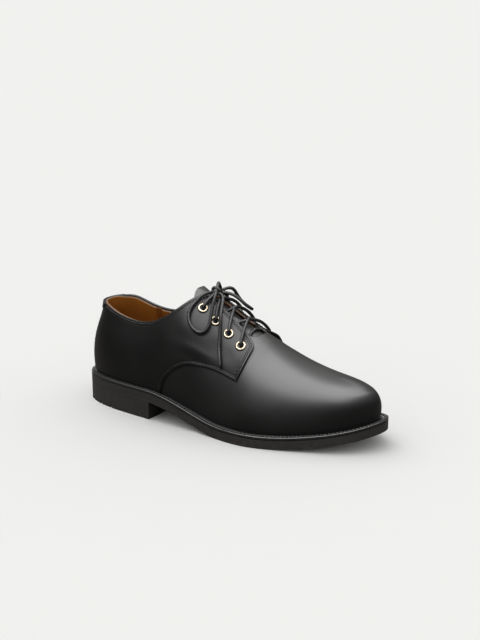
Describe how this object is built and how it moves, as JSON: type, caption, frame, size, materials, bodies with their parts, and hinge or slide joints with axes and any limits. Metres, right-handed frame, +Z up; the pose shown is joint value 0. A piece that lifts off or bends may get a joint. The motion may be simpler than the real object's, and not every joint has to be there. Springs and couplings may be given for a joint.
{
  "type": "derby shoe",
  "caption": "Plain-toe derby shoe: hollow leather upper with open lacing and a tied bow, on a welted rubber sole with a heel block.",
  "frame": {"origin": "on the floor, under the middle of the heel block's flat underside", "axes": "+X towards the toe, +Y towards the inner (medial) side, +Z up; one right shoe"},
  "size_m": [0.3015, 0.1132, 0.122],
  "materials": {
    "calf": "smooth black calf leather, satin polish",
    "lining": "tan lining leather, matt",
    "sole_rubber": "black rubber, matt",
    "welt": "black welt, waxed, satin",
    "eyelets": "aged pale brass",
    "lace": "round waxed cotton cord, black",
    "aglets": "black plastic lace tip"
  },
  "bodies": {
    "root": {"outsole": "sole_rubber", "heel": "sole_rubber", "welt": "welt", "insole": "lining", "upper": "calf", "tongue": "calf", "eyelet_lateral_1": "eyelets", "eyelet_lateral_2": "eyelets", "eyelet_lateral_3": "eyelets", "eyelet_lateral_4": "eyelets", "eyelet_medial_1": "eyelets", "eyelet_medial_2": "eyelets", "eyelet_medial_3": "eyelets", "eyelet_medial_4": "eyelets", "lace_bar": "lace", "lace_cross_1": "lace", "lace_cross_2": "lace", "lace_cross_3": "lace", "lace_lead_lateral": "lace", "lace_lead_medial": "lace", "lace_knot": "lace", "bow_loop_lateral": "lace", "bow_loop_medial": "lace", "lace_end_lateral": "lace", "lace_end_medial": "lace", "aglet_lateral": "aglets", "aglet_medial": "aglets"}
  },
  "joints": []
}
